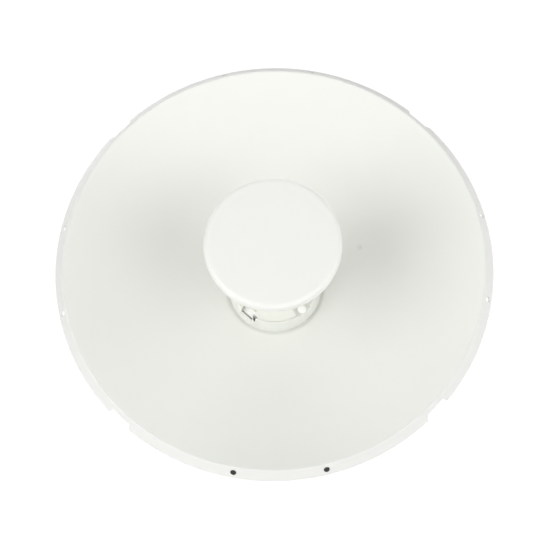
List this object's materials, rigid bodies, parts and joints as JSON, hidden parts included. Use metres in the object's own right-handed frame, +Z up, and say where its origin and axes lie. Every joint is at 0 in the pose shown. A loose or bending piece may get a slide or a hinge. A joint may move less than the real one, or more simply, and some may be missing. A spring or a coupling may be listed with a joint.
{
  "type": "outdoor wireless bridge",
  "caption": "White parabolic dish antenna with a radio built into its feed, for point-to-point links outdoors, on a tilting bracket that clamps to a vertical pole.",
  "frame": {"origin": "on the pole's axis, level with the dish's axis at zero tilt", "axes": "the dish looks along -Y, +Z runs up the pole, +X is to the right as seen from in front of the dish"},
  "size_m": [0.4199, 0.2753, 0.4198],
  "materials": {
    "dish_paint": "satin off-white powder coat",
    "cap_plastic": "fine matt white",
    "feed_plastic": "fine matt white",
    "latch_plastic": "fine matt white",
    "dark_rubber": "matt black",
    "zinc_steel": "galvanised",
    "fastener_steel": "stainless",
    "washer_steel": "stainless",
    "board_laminate": "solder mask",
    "can_tin": "tinned",
    "radiator_brass": "plated",
    "subreflector_alu": "pressed",
    "lens_clear": "frosted clear",
    "jack_black": "satin black"
  },
  "bodies": {
    "pole_mount": {"pole_bracket": "zinc_steel", "clamp_bolts": "fastener_steel", "pivot_bolts": "fastener_steel", "lock_bolts": "fastener_steel", "tilt_washers": "washer_steel", "tilt_nuts": "fastener_steel", "ground_screw": "fastener_steel"},
    "jaw": {"clamp_jaw": "zinc_steel", "clamp_washers": "washer_steel", "clamp_nuts": "fastener_steel"},
    "dish": {"reflector": "dish_paint", "rim_plugs": "dark_rubber", "dish_bracket": "zinc_steel", "bracket_screws": "fastener_steel", "bracket_nuts": "fastener_steel", "hub_gasket": "dark_rubber", "rear_housing": "feed_plastic", "housing_screws": "fastener_steel"},
    "cover": {"port_cover": "latch_plastic", "cable_grommet": "dark_rubber"},
    "feed": {"feed_collar": "feed_plastic", "collar_pegs": "latch_plastic", "feed_tube": "feed_plastic", "feed_tail": "feed_plastic", "led_lens": "lens_clear", "main_board": "board_laminate", "board_screws": "fastener_steel", "shield_cans": "can_tin", "ethernet_jack": "jack_black", "reset_switch": "jack_black", "radiator": "radiator_brass", "cap_shell": "cap_plastic", "cap_back": "cap_plastic", "cap_seal": "dark_rubber", "subreflector": "subreflector_alu"},
    "left_latch": {"latch_left": "latch_plastic"},
    "right_latch": {"latch_right": "latch_plastic"},
    "button": {"reset_button": "jack_black"}
  },
  "joints": [
    {"name": "elevation_tilt", "type": "hinge", "parent": "pole_mount", "child": "dish", "pos_m": [0, -0.054, 0], "axis": [1, 0, 0], "range_deg": [-20, 20]},
    {"name": "clamp_close", "type": "slide", "parent": "pole_mount", "child": "jaw", "axis": [0, 1, 0], "range_m": [-0.012, 0.018]},
    {"name": "feed_release", "type": "slide", "parent": "dish", "child": "feed", "axis": [0, -1, 0], "range_m": [0, 0.0245]},
    {"name": "cover_slide", "type": "slide", "parent": "dish", "child": "cover", "axis": [0, 0, -1], "range_m": [0, 0.022]},
    {"name": "left_latch_prise", "type": "slide", "parent": "feed", "child": "left_latch", "axis": [-0.6947, 0, -0.7193], "range_m": [0, 0.0009], "stiffness_N_per_m": 3500, "springref_m": -0.0005},
    {"name": "right_latch_prise", "type": "slide", "parent": "feed", "child": "right_latch", "axis": [0.6947, 0, 0.7193], "range_m": [0, 0.0009], "stiffness_N_per_m": 3500, "springref_m": -0.0005},
    {"name": "reset_press", "type": "slide", "parent": "feed", "child": "button", "axis": [0, 0, 1], "range_m": [0, 0.0005], "stiffness_N_per_m": 3000, "springref_m": -0.0005}
  ]
}
